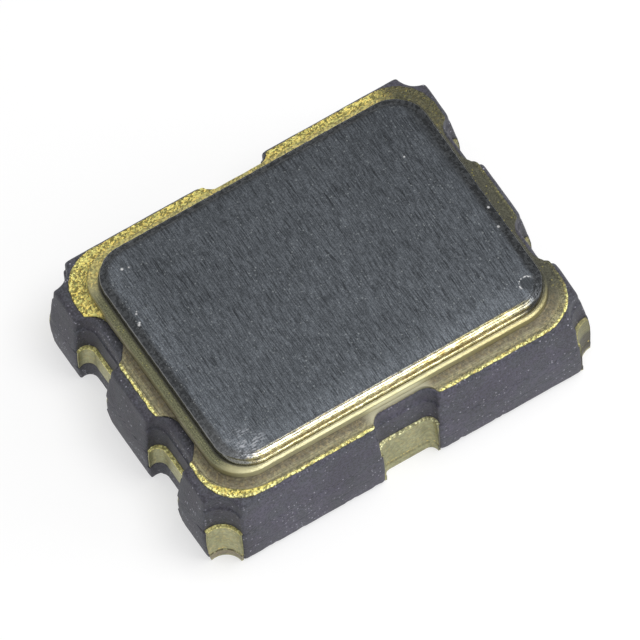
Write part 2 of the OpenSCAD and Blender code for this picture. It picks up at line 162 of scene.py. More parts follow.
# Ring: depths under its top, as it was made and as it is worn along the near side
RING_PLAIN = [(0, 0.088), (0, 0.06), (0, 0.035), (0, 0.01), (0.0006, 0.0065), (0.002, 0.0036),
              (0.0042, 0.0017), (0.0072, 0.0006), (0.011, 0.0001), (0.02, 0), (0.034, 0), (0.05, 0)]
RING_WORN = [(0, 0.088), (0, 0.06), (0, 0.035), (0, 0.012), (0.0004, 0.0088), (0.0014, 0.007),
             (0.003, 0.006), (0.0072, 0.0046), (0.013, 0.0027), (0.019, 0.0008), (0.0215, 0), (0.05, 0)]
# Lid: heights over its foot, with the rolled track, and with the melted skirt of the near side
LID_PLAIN = [(0.006, 0), (0, 0.004), (0, 0.018), (0, 0.034), (0, 0.044), (0.0002, 0.05), (0.0005, 0.055),
             (0.0011, 0.06), (0.0022, 0.0645), (0.004, 0.0682), (0.0064, 0.0708), (0.0095, 0.0724),
             (0.013, 0.0728), (0.0165, 0.0724), (0.0195, 0.0718), (0.023, 0.0724), (0.029, 0.0742),
             (0.0355, 0.0762), (0.039, 0.0768), (0.0415, 0.0767), (0.0445, 0.0775), (0.05, 0.08),
             (0.056, 0.0835), (0.062, 0.0862), (0.067, 0.0876), (0.072, 0.088)]
LID_SKIRT = [(0.006, 0), (0, 0.004), (0, 0.014), (0, 0.0225), (0.0012, 0.0262), (0.0035, 0.0282),
             (0.009, 0.0302), (0.0145, 0.0322), (0.0162, 0.035), (0.017, 0.044), (0.0176, 0.058),
             (0.0184, 0.065), (0.0205, 0.069), (0.024, 0.0708), (0.03, 0.0728), (0.036, 0.0748),
             (0.0385, 0.0753), (0.0405, 0.0749), (0.0425, 0.0752), (0.045, 0.0762), (0.05, 0.0778),
             (0.0555, 0.0795), (0.0572, 0.0815), (0.0596, 0.0862), (0.0606, 0.0879), (0.062, 0.088)]


# Outlines
def across_along(k, pair):
    """A pair's value across side k, then along it."""
    return (pair[1], pair[0]) if k % 2 == 0 else (pair[0], pair[1])


def arc(centre, radius, start, stop, count, along, out):
    a = np.linspace(start, stop, count)[:, None]
    return centre + radius * (np.cos(a) * along + np.sin(a) * out)


def corner_hole(k, half, holes):
    """Concave arc of the corner where side k starts, from wall to wall."""
    along, out = SIDES[k]
    wall_out, wall_along = across_along(k, half)
    row_out, row_along = across_along(k, ROW)
    centre = out * row_out - along * row_along + holes.shift
    start = -math.acos(np.clip((-wall_along - centre @ along) / holes.corner, -1, 1))
    stop = math.asin(np.clip((wall_out - centre @ out) / holes.corner, -1, 1))
    return arc(centre, holes.corner, start, stop, CORNER_N, along, out)


def round_corner(k, half, radius, count=CORNER_N):
    """Convex arc of the corner where side k starts."""
    along, out = SIDES[k]
    wall_out, wall_along = across_along(k, half)
    centre = out * (wall_out - radius) - along * (wall_along - radius)
    return arc(centre, radius, math.pi, math.pi / 2, count, along, out)


def notch(k, at, half, shape, shift):
    """Outline of one longer notch, from wall to wall. It runs along the wall where it doesn't reach it."""
    along, out = SIDES[k]
    width, depth, r = shape
    wall = across_along(k, half)[0]
    centre = out * (across_along(k, ROW)[0] + r - depth) + along * at + shift
    t0, n0 = centre @ along, centre @ out
    if wall <= n0 - r:
        t = np.linspace(t0 - width / 2, t0 + width / 2, 2 * ARC_N + MID_N)[:, None]
        return t * along + wall * out
    reach = width / 2 - r
    lean = math.asin(np.clip((wall - n0) / r, -1, 1))
    left = arc(centre - reach * along, r, math.pi - lean, 1.5 * math.pi, ARC_N, along, out)
    right = arc(centre + reach * along, r, 1.5 * math.pi, 2 * math.pi + lean, ARC_N, along, out)
    t = np.linspace(t0 - reach, t0 + reach, MID_N + 2)[1:-1, None]
    return np.concatenate([left, t * along + (n0 - r) * out, right])


def side_notch(k, at, half, holes):
    return notch(k, at * SIDE_PITCH / 2, half, holes.side, holes.shift)


def wide_notch(k, half, holes):
    return notch(k, 0.0, half, holes.wide, holes.shift)


def joined(shapes, counts):
    """Closed loop through lines of points, with so many more points on the straight run after each."""
    points = []
    for shape, following, count in zip(shapes, shapes[1:] + shapes[:1], counts):
        points += [shape, np.linspace(shape[-1], following[0], count + 2)[1:-1]]
    return np.concatenate(points)


def outline(half, holes, radius=None):
    """Closed outline, counter-clockwise, with its notches. A radius makes its corners convex."""
    shapes, counts = [], []
    for k in range(4):
        shapes.append(corner_hole(k, half, holes) if radius is None else round_corner(k, half, radius))
        if k % 2 == 0:
            shapes.append(wide_notch(k, half, holes))
        else:
            shapes += [side_notch(k, at, half, holes) for at in (-1, 1)]
        counts += RUN_N[k % 2]
    return joined(shapes, counts)


def rounded(half, radius, counts=(40, 150, 110)):
    """Closed outline of a rounded rectangle, with points per corner, long side and short side."""
    return joined([round_corner(k, half, radius, counts[0]) for k in range(4)], 2 * counts[1:])


def soften(loop, times):
    for _ in range(times):
        loop = 0.25 * np.roll(loop, 1, 0) + 0.5 * loop + 0.25 * np.roll(loop, -1, 0)
    return loop


def inset(loop, d):
    t = np.roll(loop, -1, 0) - np.roll(loop, 1, 0)
    n = np.stack([t[:, 1], -t[:, 0]], 1)
    n /= np.maximum(np.linalg.norm(n, axis=1), 1e-9)[:, None]
    return loop - n * np.reshape(d, (-1, 1))


# Unevenness
def rough(points, size, seed=0.0):
    """Smooth noise from about -1 to 1 at each point, with features of the given size."""
    places = np.array(points) * (1.0 / size) + [seed, -seed, 2 * seed]
    return np.array([noise.noise(Vector(place)) for place in places]) * 1.6


def flat_rough(loop, size, seed):
    return rough(np.concatenate([loop, np.zeros((len(loop), 1))], 1), size, seed)


def uneven(points, base, *waves):
    """A base value plus noises, each with its height, size of features and seed."""
    return base + sum(height * rough(points, size, seed) for height, size, seed in waves)


def edge_distance(points, half, radius):
    """Distance outside a rounded rectangle about the origin."""
    q = np.abs(points) - (half - radius)
    return np.linalg.norm(np.maximum(q, 0), axis=1) + np.minimum(np.max(q, axis=1), 0) - radius


def outward(plan):
    """Directions away from the origin."""
    return plan / np.maximum(np.linalg.norm(plan, axis=1), 1e-6)[:, None]


# Meshes
def linked(name, data):
    """A new object of the scene."""
    made = bpy.data.objects.new(name, data)
    bpy.context.scene.collection.objects.link(made)
    return made


class Skin:
    """Gathers loops of points and the faces between them into one mesh."""

    def __init__(self):
        self.verts, self.faces, self.second = [], [], []

    def loop(self, xy, z):
        xy = np.asarray(xy, float)
        start = len(self.verts)
        self.verts += [(a, b, c) for (a, b), c in zip(xy, np.broadcast_to(z, len(xy)))]
        return list(range(start, len(self.verts)))

    def join(self, low, high):
        """Faces between two closed loops, seen from outside where high lies above low on an outer wall."""
        for i, j in zip(range(len(low)), [*range(1, len(low)), 0]):
            self.faces.append((low[i], low[j], high[j], high[i]))

    def stack(self, loops):
        for low, high in zip(loops, loops[1:]):
            self.join(low, high)

    def cap(self, loop, up=True, holes=()):
        """Flat face on a loop, with its holes left open."""
        rings = [loop, *holes]
        ids = [i for ring in rings for i in ring]
        flat = [[Vector((*self.verts[i][:2], 0)) for i in ring] for ring in rings]
        for corners in geometry.tessellate_polygon(flat):
            tri = [ids[i] for i in corners]
            a, b, c = (np.array(self.verts[i][:2]) for i in tri)
            area = np.cross(b - a, c - a)
            if abs(area) > 1e-12:
                self.faces.append(tuple(tri if (area > 0) == up else reversed(tri)))

    def piece(self, name, materials, slot, node, moves=None):
        """Makes the mesh's object. Faces listed in second take the second material."""
        points = np.array(self.verts)
        if moves is not None:
            points = moves(points)
        mesh = bpy.data.meshes.new(name)
        mesh.from_pydata([tuple(p) for p in points * MM], [], self.faces)
        mesh.polygons.foreach_set("use_smooth", [True] * len(mesh.polygons))
        for material in materials:
            mesh.materials.append(material)
        for i in self.second:
            mesh.polygons[i].material_index = 1
        mesh.update()
        piece = linked(name, mesh)
        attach(piece, "root")
        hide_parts(node)


# Materials
def rgb(r, g, b):
    return (r, g, b, 1.0)


class Shader:
    """A node material. Its coordinates p are millimetres in the part's frame."""

    SOCKETS = {"color": "Base Color", "metal": "Metallic", "rough": "Roughness", "normal": "Normal",
               "specular": "Specular IOR Level", "transmission": "Transmission Weight"}

    def __init__(self, name):
        self.mat = bpy.data.materials.new(name)
        self.mat.use_nodes = True
        self.tree = self.mat.node_tree
        self.tree.nodes.clear()
        self.bsdf = self.node("ShaderNodeBsdfPrincipled")
        self.link(self.bsdf.outputs[0], self.node("ShaderNodeOutputMaterial").inputs["Surface"])
        self.p = self.shade(self.node("ShaderNodeTexCoord").outputs["Object"], 1 / MM)
        self.x, self.y, self.z = self.parts(self.p)

    def node(self, kind, **props):
        made = self.tree.nodes.new(kind)
        for key, value in props.items():
            setattr(made, key, value)
        return made

    def link(self, a, b):
        self.tree.links.new(a, b)

    def feed(self, socket, value):
        if isinstance(value, bpy.types.NodeSocket):
            self.link(value, socket)
        else:
            socket.default_value = value

    def parts(self, vector):
        split = self.node("ShaderNodeSeparateXYZ")
        self.link(vector, split.inputs[0])
        return split.outputs

    def upward(self):
        """How far the surface faces up, from -1 to 1."""
        return self.parts(self.node("ShaderNodeNewGeometry").outputs["Normal"])[2]

    # Numbers
    def math(self, op, a, b=0.0):
        n = self.node("ShaderNodeMath", operation=op)
        self.feed(n.inputs[0], a)
        self.feed(n.inputs[1], b)
        return n.outputs[0]

    def times(self, *factors):
        product = factors[0]
        for factor in factors[1:]:
            product = self.math("MULTIPLY", product, factor)
        return product

    def plus(self, a, b):
        return self.math("ADD", a, b)

    def minus(self, a, b):
        return self.math("SUBTRACT", a, b)

    def rest(self, share):
        return self.minus(1.0, share)

    def size(self, value):
        return self.math("ABSOLUTE", value)

    def most(self, a, b):
        return self.math("MAXIMUM", a, b)

    def ramp(self, value, low, high, a=0.0, b=1.0):
        """From a to b where the value goes from low to high."""
        n = self.node("ShaderNodeMapRange", interpolation_type="SMOOTHSTEP")
        self.feed(n.inputs["Value"], value)
        for key, number in {"From Min": low, "From Max": high, "To Min": a, "To Max": b}.items():
            n.inputs[key].default_value = number
        return n.outputs["Result"]

    def within(self, value, limit, soft):
        """1 up to a limit, and 0 over it."""
        return self.ramp(value, limit - soft, limit + soft, 1.0, 0.0)

    def band(self, value, middle, width, soft):
        """1 inside a band of values, and 0 outside it."""
        return self.within(self.size(self.minus(value, middle)), width / 2, soft / 2)

    # Places
    def length(self, a, b):
        return self.math("SQRT", self.plus(self.times(a, a), self.times(b, b)))

    def edge(self, middle, half, radius):
        """Distance inside a rounded rectangle, in plan."""
        qs = [self.minus(self.size(self.minus(place, float(m))), float(h - radius))
              for place, m, h in zip((self.x, self.y), middle, half)]
        outside = self.length(*(self.most(q, 0.0) for q in qs))
        inside = self.math("MINIMUM", self.most(*qs), 0.0)
        return self.minus(radius, self.plus(outside, inside))

    def away(self, x, y):
        """Distance from a point, in plan."""
        return self.length(self.minus(self.x, x), self.minus(self.y, y))

    def spot(self, x, y, radius, soft):
        return self.within(self.away(x, y), radius, soft)

    # Patterns
    def placed(self, scale, offset, turn=0.0):
        """Coordinates stretched by a factor or three, turned about Z and moved, so that patterns differ."""
        m = self.node("ShaderNodeMapping")
        self.link(self.p, m.inputs["Vector"])
        m.inputs["Scale"].default_value = scale if isinstance(scale, tuple) else (scale,) * 3
        m.inputs["Rotation"].default_value = (0, 0, turn)
        m.inputs["Location"].default_value = (offset, 2.3 * offset, -1.7 * offset)
        return m.outputs[0]

    def noise(self, scale, detail=3.0, rough=0.55, offset=0.0, turn=0.0):
        n = self.node("ShaderNodeTexNoise")
        n.inputs["Scale"].default_value = 1.0
        n.inputs["Detail"].default_value = detail
        n.inputs["Roughness"].default_value = rough
        self.link(self.placed(scale, offset, turn), n.inputs["Vector"])
        return n.outputs["Fac"]

    def lines(self, value, scale):
        """Noise that follows one value, so that it makes lines where the value is the same."""
        n = self.node("ShaderNodeTexNoise", noise_dimensions="1D")
        n.inputs["Scale"].default_value = 1.0
        self.link(self.times(value, scale), n.inputs["W"])
        return n.outputs["Fac"]

    def cells(self, scale, offset=0.0):
        """Distance to the nearest cell's middle, and two random numbers for each cell."""
        n = self.node("ShaderNodeTexVoronoi")
        n.inputs["Scale"].default_value = 1.0
        self.link(self.placed(scale, offset), n.inputs["Vector"])
        split = self.node("ShaderNodeSeparateColor")
        self.link(n.outputs["Color"], split.inputs[0])
        return n.outputs["Distance"], split.outputs[0], split.outputs[1]

    def flecks(self, cells, share, reach=(0.25, 0.45)):
        """Round flecks in a share of the cells."""
        away, value, _ = cells
        return self.times(self.math("LESS_THAN", value, share), self.ramp(away, *reach, 1.0, 0.0))

    def wavy(self, value, height, *noise):
        """A value, raised by a noise."""
        return self.plus(value, self.times(self.noise(*noise), height))

    def swayed(self, value, height, *noise):
        """A value, raised and lowered by a noise."""
        return self.plus(value, self.times(self.minus(self.noise(*noise), 0.5), height))

    # Colours
    def mix(self, factor, a, b):
        n = self.node("ShaderNodeMix", data_type="RGBA")
        self.feed(n.inputs["Factor"], factor)
        self.feed(n.inputs[6], a)
        self.feed(n.inputs[7], b)
        return n.outputs[2]

    def paint(self, color, tone, *shares):
        """A colour with a tone laid over it, as far as the product of the shares says."""
        return self.mix(self.times(*shares), color, tone)

    def mottled(self, a, b, *noise):
        return self.mix(self.ramp(self.noise(*noise), *MOST), a, b)

    def shade(self, color, value):
        """A colour or vector times a number."""
        n = self.node("ShaderNodeVectorMath", operation="SCALE")
        self.feed(n.inputs[0], color[:3] if isinstance(color, tuple) else color)
        self.feed(n.inputs["Scale"], value)
        return n.outputs[0]

    def bump(self, height, distance):
        n = self.node("ShaderNodeBump")
        n.inputs["Distance"].default_value = distance * MM
        self.link(height, n.inputs["Height"])
        return n.outputs["Normal"]

    def finish(self, **values):
        for key, value in values.items():
            self.feed(self.bsdf.inputs[self.SOCKETS[key]], value)
        return self.mat

    def coat(self, color, metal, fine, roughness, height, distance, **more):
        """Finish whose roughness follows a fine noise between two values."""
        return self.finish(color=color, metal=metal, rough=self.ramp(fine, *WIDE, *roughness),
                           normal=self.bump(height, distance), **more)


# Ranges that hold most of a noise's values, and nearly all of them
MOST, WIDE = (0.35, 0.65), (0.3, 0.7)
# Noise of a plated surface: scale, detail and roughness
FINE = (80, 3, 0.7)
# From where to where the corner terminals, the right-hand end with painted shadow and the unbrazed far side begin
CORNER_X, RIGHT_SHADOW_X, FAR_Y = (1.2, 1.35), (1.36, 1.5), (0.52, 0.74)
# How the snapped wall leans out with height, and where that puts the plating's cut edge, along Y and along X
LEAN, CUT_Y, CUT_X = 0.067, (1.2325, 1.2345), (1.6135, 1.6155)
# From a darker to a lighter cell, and the size of the bare gold's grains
CELL_RANGE, BARE_SIZE = (0.2, 0.9), 78
# Weld spot on the lid, its scuffed patch and the corner of its track with painted light
WELD_SPOT, SCUFF, LIT_TRACK_CORNER = (1.275, -0.885), (-1.12, -0.9), (-1.12, -0.92)
# Small bright marks on the lid: place, radius and strength
BRIGHT_MARKS = [(-1.125, 0.842, 0.01, 0.9), (-1.075, 0.828, 0.007, 0.6), (-1.232, 0.462, 0.008, 0.7),
                (-1.22, 0.478, 0.006, 0.6), (-1.262, 0.372, 0.01, 0.95), (-1.25, 0.386, 0.008, 0.95),
                (1.084, 0.519, 0.007, 0.8), (1.376, -0.177, 0.01, 0.9), (1.35, -0.361, 0.01, 0.8)]


def ceramic_material():
    s = Shader("dark_ceramic")
    # Both short sides are painted darker than the long sides: painted shade
    ends = s.ramp(s.size(s.x), 1.2, 1.5)
    color = s.mix(ends, rgb(0.072, 0.068, 0.094), rgb(0.053, 0.051, 0.066))
    color = s.paint(color, rgb(0.062, 0.066, 0.078), s.ramp(s.noise(6, 4, 0.6, 11), 0.38, 0.62), 0.7)
    color = s.shade(color, s.ramp(s.noise(2.6, 4), *WIDE, 0.88, 1.14))
    fine = s.noise(62, 4, 0.7)
    color = s.shade(color, s.ramp(fine, 0.4, 0.6, 0.66, 1.4))
    # Light grains, thicker in patches and along the foot
    away, pick, size = s.cells(46, 3)
    patch = s.ramp(s.noise(4, 3, 0.6, 5), 0.4, 0.66)
    foot = s.times(s.ramp(s.z, 0.22, 0.05), s.ramp(s.noise((5, 5, 30), 3, 0.6, 8), 0.43, 0.58))
    share = s.plus(s.plus(s.times(patch, 0.26), s.times(foot, 0.3)), 0.05)
    chosen = s.math("GREATER_THAN", share, pick)
    dot = s.times(s.ramp(away, 0.2, 0.42, 1.0, 0.0), chosen, s.ramp(size, 0.0, 1.0, 0.1, 0.75))
    color = s.mix(dot, color, rgb(0.4, 0.39, 0.46))
    height = s.plus(s.noise(90, 4, 0.7, 2), s.times(s.noise(18, 3, 0.6, 6), 1.6))
    return s.coat(color, 0.0, fine, (0.48, 0.66), height, 0.0045, specular=0.4)


def painted_right_shade(s, color, tone=rgb(0.06, 0.061, 0.042)):
    """Painted shade on the right-hand side of the seal: a darker, flecked tone laid over its colour."""
    right = s.times(s.ramp(s.x, 1.14, 1.36), s.ramp(s.y, -1.14, -0.84), s.ramp(s.z, 0.6, 0.72))
    tone = s.shade(tone, s.ramp(s.noise(*FINE, 4), *MOST, 0.45, 1.6))
    tone = s.paint(tone, rgb(0.36, 0.32, 0.08), s.flecks(s.cells(60, 41), 0.1), 0.7)
    return s.paint(color, tone, right, 0.92)


def grains(s, color, size, contrast, tint, offset=2):
    """Crystals of the plating, each with its own brightness and some with a tint."""
    away, value, hue = s.cells(size, offset)
    color = s.paint(color, rgb(0.86, 0.6, 0.14), s.ramp(hue, 0.7, 0.78), tint)
    color = s.paint(color, rgb(0.34, 0.38, 0.14), s.ramp(hue, 0.3, 0.22), tint)
    return s.shade(color, s.ramp(value, 0.1, 0.95, 1 - contrast, 1 + contrast)), away


def notch_gold():
    """Plated walls of the notches, with painted shade along a step near the foot."""
    s = Shader("wall_gold")
    fine = s.noise(*FINE)
    color = s.mottled(rgb(0.36, 0.355, 0.205), rgb(0.43, 0.42, 0.25), 5, 4)
    color, away = grains(s, color, 55, 0.13, 0.12)
    color = s.shade(color, s.ramp(s.size(s.x), 0.5, 1.2, 0.88, 1.0))
    corner = s.ramp(s.size(s.x), *CORNER_X)
    # Painted shade along the step, and the browner foot of the corners under it
    step = s.band(s.wavy(s.z, 0.01, 24, 2), 0.08, 0.016, 0.01)
    broken = s.ramp(s.noise((50, 50, 10), 2, 0.6, 3), 0.42, 0.54, 0.1, 0.9)
    color = s.paint(color, rgb(0.1, 0.08, 0.045), step, broken, s.ramp(corner, 0.0, 1.0, 0.45, 1.0))
    under = s.times(s.ramp(s.z, 0.07, 0.06), s.ramp(s.z, 0.012, 0.02))
    color = s.paint(color, rgb(0.24, 0.19, 0.17), under, corner, 0.6)
    # Painted shadow on the right-hand end, darkest low down on its near side
    right_shadow = s.times(s.ramp(s.x, *RIGHT_SHADOW_X), s.ramp(s.z, 0.014, 0.03))
    shadow_tone = s.shade(rgb(0.185, 0.178, 0.1), s.ramp(fine, *MOST, 0.7, 1.3))
    color = s.paint(color, shadow_tone, right_shadow, 0.8)
    deepest_shadow = s.times(right_shadow, s.ramp(s.z, 0.26, 0.2), s.ramp(s.y, -0.8, -1.0))
    color = s.paint(color, rgb(0.085, 0.078, 0.07), deepest_shadow, 0.8)
    glint = s.times(s.band(s.z, 0.094, 0.012, 0.008), s.ramp(s.noise((60, 60, 20), 2, 0.6, 7), 0.52, 0.6))
    color = s.paint(color, rgb(0.85, 0.66, 0.2), glint, 0.8)
    # Snapped edge of the plating, with painted shade on it in the right-hand half
    y_cut = s.ramp(s.plus(s.size(s.y), s.times(s.z, -LEAN)), *CUT_Y)
    x_cut = s.ramp(s.plus(s.size(s.x), s.times(s.z, -LEAN)), *CUT_X)
    cut = s.times(s.most(y_cut, x_cut), s.ramp(s.x, -0.1, 0.1), s.ramp(s.z, 0.012, 0.016))
    color = s.paint(color, rgb(0.1, 0.095, 0.095), cut, 0.8)
    return s.coat(color, 0.75, fine, (0.42, 0.55), s.plus(fine, s.times(away, 0.8)), 0.003)


def ledge_gold():
    """Upper rims of the plated notches: a chain of gold grains, painted bright as highlights."""
    s = Shader("ledge_gold")
    fine = s.noise(*FINE)
    corner = s.ramp(s.size(s.x), *CORNER_X)
    # On the corner terminals the rims are painted paler and brighter: painted light where the notch above shades them
    color = s.mix(corner, rgb(0.92, 0.9, 0.5), rgb(1.0, 0.93, 0.38))
    color, away = grains(s, color, 62, 0.4, 0.2)
    color = s.shade(color, s.plus(s.ramp(away, 0.3, 0.62, 1.0, 0.45), s.times(corner, 0.25)))
    # Painted shadow on the right-hand end
    color = s.paint(color, rgb(0.17, 0.16, 0.09), s.ramp(s.x, *RIGHT_SHADOW_X), 0.8)
    return s.coat(color, 0.4, fine, (0.42, 0.55), fine, 0.004)


def print_gold():
    """Printed frame: grainy gold on the far side, wetted by the braze elsewhere but for a bright edge."""
    s = Shader("face_gold")
    fine = s.noise(*FINE)
    inside = s.edge(PRINT_MID, PRINT_HALF, PRINT_R)
    far = s.ramp(s.y, *FAR_Y)
    bare = s.mix(s.ramp(s.noise(9, 3), 0.4, 0.6), rgb(0.56, 0.48, 0.13), rgb(0.7, 0.62, 0.2))
    bare = s.paint(bare, rgb(0.86, 0.8, 0.32), s.ramp(inside, 0.026, 0.012), s.rest(far))
    bare, away = grains(s, bare, BARE_SIZE, 0.62, 0.45)
    wetted = s.mottled(rgb(0.22, 0.2, 0.12), rgb(0.29, 0.27, 0.16), 8, 3, 0.6, 3)
    wetted, _ = grains(s, wetted, BARE_SIZE, 0.34, 0.06, 6)
    # The bare edge is wider at the near left-hand corner
    width = s.plus(s.times(s.spot(-1.27, -1.02, 0.2, 0.16), 0.05), 0.018)
    edge = s.ramp(s.minus(s.swayed(inside, 0.03, 16, 3, 0.6, 9), width), -0.006, 0.008, 1.0, 0.0)
    color = s.mix(s.most(edge, far), wetted, bare)
    # Painted shade on the right-hand side
    return s.coat(painted_right_shade(s, color), 0.5, fine, (0.42, 0.56), s.plus(fine, s.times(away, 0.8)), 0.005)


def ring_gold():
    """Seal ring: smooth pale wall, and a speckled ledge on its left and far sides."""
    s = Shader("ring_gold")
    fine = s.noise(*FINE)
    top = float(RING_Z[1])
    ledge = s.ramp(s.z, top - 0.004, top - 0.001)
    left = s.times(s.ramp(s.x, -1.24, -1.32), s.ramp(s.y, 0.95, 0.7), s.ramp(s.y, -1.0, -0.86))
    far = s.ramp(s.y, 0.8, 0.96)
    near = s.times(s.ramp(s.y, -0.98, -1.08), s.ramp(s.x, 1.34, 1.08), s.ramp(s.z, top - 0.012, top - 0.02))
    brown = s.times(s.ramp(s.wavy(s.x, 0.8, (4, 14, 14), 3, 0.6, 7), 0.5, 1.3), s.ramp(s.y, -0.9, -1.0))
    color = s.mottled(rgb(0.4, 0.375, 0.21), rgb(0.47, 0.44, 0.26), 5, 4)
    # The near wall is painted paler: painted light
    color = s.paint(color, rgb(0.66, 0.63, 0.42), near, 0.85)
    color = s.paint(color, rgb(0.38, 0.33, 0.15), brown, 0.75)
    color = s.paint(color, rgb(0.34, 0.31, 0.14), far, s.rest(ledge))
    # The ledge is dark, flecked and rolled on the left, and bare on the far side
    dark = s.shade(rgb(0.17, 0.17, 0.098), s.ramp(s.noise(92, 3, 0.8, 21), 0.4, 0.6, 0.6, 1.45))
    dark = s.paint(dark, rgb(0.46, 0.43, 0.14), s.flecks(s.cells(70, 23), 0.12), 0.6)
    rolled = s.lines(s.edge(PRINT_MID, RING_HALF, RING_R), 150.0)
    dark = s.shade(dark, s.ramp(rolled, *MOST, 0.75, 1.25))
    bare, _ = grains(s, rgb(0.54, 0.47, 0.16), BARE_SIZE, 0.5, 0.4)
    color = s.paint(color, dark, ledge, left)
    color = s.paint(color, bare, ledge, far, 0.8)
    # A thin dark line of painted shade where the ledge rolls down into the wall, on the left and faintly on the far
    # side
    line = s.times(s.band(s.z, top - 0.006, 0.006, 0.004), s.most(left, s.times(far, 0.3)))
    color = s.paint(color, rgb(0.05, 0.045, 0.03), line, 0.8)
    # The left side's wall is painted darker: painted shade
    color = s.paint(color, rgb(0.2, 0.19, 0.12), left, s.rest(ledge), 0.45)
    # Soot and painted shade in the corner between the ledge and the lid's wall
    gap = s.times(s.edge(LID_MID, LID_HALF, LID_R), -1.0)
    soot_and_shade = s.times(s.ramp(gap, 0.017, 0.009), ledge)
    color = s.paint(color, rgb(0.16, 0.155, 0.125), soot_and_shade, s.ramp(s.y, -1.02, -0.9, 0.5, 0.9))
    # Painted shade on the right-hand side
    color = painted_right_shade(s, color, rgb(0.043, 0.045, 0.034))
    return s.coat(color, 0.6, fine, (0.28, 0.4), fine, 0.0022)


def braze_material():
    """Fillet: brown at the ring's foot, olive outwards, banded along the ring, and grainy on the far side."""
    s = Shader("braze")
    fine = s.noise(*FINE)
    out = s.minus(s.edge(PRINT_MID, PRINT_HALF, PRINT_R), s.times(s.noise(7, 3, 0.6, 5), 0.02))
    color = s.mix(s.ramp(out, 0.045, 0.075), rgb(0.245, 0.225, 0.135), rgb(0.15, 0.13, 0.085))
    color = s.shade(color, s.ramp(s.lines(out, 110.0), *MOST, 0.8, 1.2))
    color, _ = grains(s, color, 74, 0.22, 0.06)
    # By the near wide notch the braze drew back and left the pale metal
    pale = s.times(s.band(s.x, 0.02, 0.52, 0.1), s.ramp(s.y, -0.9, -1.0))
    color = s.mix(pale, color, rgb(0.4, 0.38, 0.26))
    bare, _ = grains(s, rgb(0.58, 0.5, 0.15), BARE_SIZE, 0.6, 0.45)
    color = s.mix(s.ramp(s.y, *FAR_Y), color, bare)
    # Painted shade on the right-hand side
    return s.coat(painted_right_shade(s, color), 0.35, fine, (0.5, 0.62), fine, 0.003)


def lid_face(s, grain, long_grain, speckle):
    """Brushed face: fine grain along Y, darker scratches, speckle, and painted light that makes it lighter near and
    left, darker far and right.
    """
    # Painted light: lighter towards the near and left edges, darker far and right
    tone = s.plus(s.times(s.x, -0.04), s.times(s.y, -0.06))
    tone = s.plus(tone, s.plus(s.ramp(s.y, -0.72, -0.98, 0.0, 0.32), s.ramp(s.x, -0.95, -1.2, 0.0, 0.24)))
    scratches = s.rest(s.times(s.ramp(long_grain, 0.56, 0.66), 0.44))
    streaks = s.plus(1.0, s.times(s.ramp(long_grain, 0.4, 0.3), 0.22))
    shade = s.times(s.ramp(grain, 0.38, 0.62, 0.72, 1.32), s.ramp(speckle, 0.4, 0.6, 0.76, 1.28),
                    s.plus(tone, 1.0), s.ramp(s.noise(1.4, 3, 0.5, 1), *WIDE, 0.94, 1.07), scratches, streaks)
    cells = s.cells(62, 31)
    glint = s.times(s.flecks(cells, 0.1, (0.25, 0.5)), cells[2])
    return s.paint(s.shade(rgb(0.123, 0.135, 0.15), shade), rgb(0.42, 0.45, 0.46), glint, 0.65)


def lid_track(s, color, inside, value):
    """Rolled track round the edge, dark and speckled, but with painted light at its near left-hand corner, and where
    it is.
    """
    track = s.ramp(s.swayed(inside, 0.03, (30, 30, 5), 3, 0.6, 12), 0.092, 0.05)
    dark = s.shade(rgb(0.088, 0.092, 0.096), s.ramp(value, *CELL_RANGE, 0.6, 1.4))
    pale = s.shade(rgb(0.2, 0.205, 0.21), s.ramp(value, *CELL_RANGE, 0.8, 1.2))
    # Painted light: paler track at the near left-hand corner
    dark = s.paint(dark, pale, s.spot(*LIT_TRACK_CORNER, 0.34, 0.2), 0.8)
    return s.paint(color, dark, track, 0.85), track


def lid_highlit_side(s, color, near, near_highlight):
    """Near side of the track, painted pale gold as a highlight and paler still on steep faces, with a stain, a brown
    stretch and a groove.
    """
    golden = s.most(s.ramp(near, 0.046, 0.038), s.ramp(s.wavy(s.x, 0.5, 5, 2), 0.4, 1.0))
    pale = s.mix(golden, rgb(0.43, 0.43, 0.42), rgb(0.44, 0.41, 0.25))
    pale = s.paint(pale, rgb(0.24, 0.22, 0.12), s.ramp(s.x, 0.9, 1.2), 0.5)
    # Steeper faces are painted paler: painted highlight
    steep = s.ramp(s.upward(), 0.85, 0.55)
    pale, _ = grains(s, s.mix(steep, pale, rgb(0.66, 0.6, 0.36)), 70, 0.3, 0.25, 14)
    pale = s.shade(pale, s.ramp(s.noise((22, 60, 20), 3, 0.6, 3), *MOST, 0.72, 1.2))
    color = s.mix(near_highlight, color, pale)
    stain = s.band(s.wavy(near, 0.004, 14, 1), 0.0175, 0.007, 0.004)
    color = s.paint(color, rgb(0.42, 0.3, 0.14), near_highlight, stain, 0.4)
    stretch = s.times(near_highlight, s.ramp(s.x, 0.02, 0.22), s.ramp(s.x, 0.78, 0.6), s.band(near, 0.03, 0.036, 0.02))
    patchy = s.ramp(s.noise((16, 50, 20), 2, 0.6, 6), 0.4, 0.6, 0.0, 0.75)
    color = s.paint(color, rgb(0.26, 0.17, 0.045), stretch, patchy)
    groove = s.band(s.wavy(near, 0.006, 14, 1), 0.042, 0.006, 0.005)
    dashes = s.ramp(s.noise((36, 6, 6), 1, 0.5, 15), 0.42, 0.5, 0.25, 0.9)
    return s.paint(color, rgb(0.07, 0.05, 0.03), near_highlight, groove, dashes)


